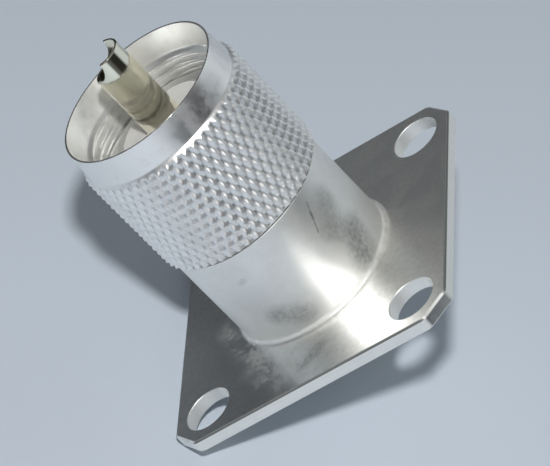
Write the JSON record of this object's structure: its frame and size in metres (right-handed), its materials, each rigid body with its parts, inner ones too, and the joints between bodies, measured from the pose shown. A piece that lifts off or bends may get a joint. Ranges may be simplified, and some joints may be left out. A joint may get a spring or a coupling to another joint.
{
  "type": "panel-mount uhf plug connector",
  "caption": "Silver-plated coaxial plug on a square flange with corner holes, a plain barrel, a free-turning diamond-knurled coupling nut and a hollow, notched centre pin.",
  "frame": {"origin": "centre of the flange's rear mounting face", "axes": "+Z along the connector's axis, from the flange to the mating end; X and Y along the flange's sides"},
  "size_m": [0.032, 0.032, 0.0432],
  "materials": {
    "body_plate": "worn bright silver plate on brass",
    "nut_plate": "satin silver plate on brass, diamond knurled",
    "spring_ring": "plain spring bronze",
    "insulator": "white fluoropolymer, waxy and matt",
    "contact_plate": "polished silver plate on brass"
  },
  "bodies": {
    "plug_body": {"flange_body": "body_plate", "retaining_ring": "spring_ring", "front_insulator": "insulator", "rear_insulator": "insulator", "centre_contact": "contact_plate"},
    "nut": {"coupling_nut": "nut_plate"}
  },
  "joints": [
    {"name": "nut_spin", "type": "hinge", "parent": "plug_body", "child": "nut", "pos_m": [0, 0, 0.0132], "axis": [0, 0, 1], "continuous": true}
  ]
}
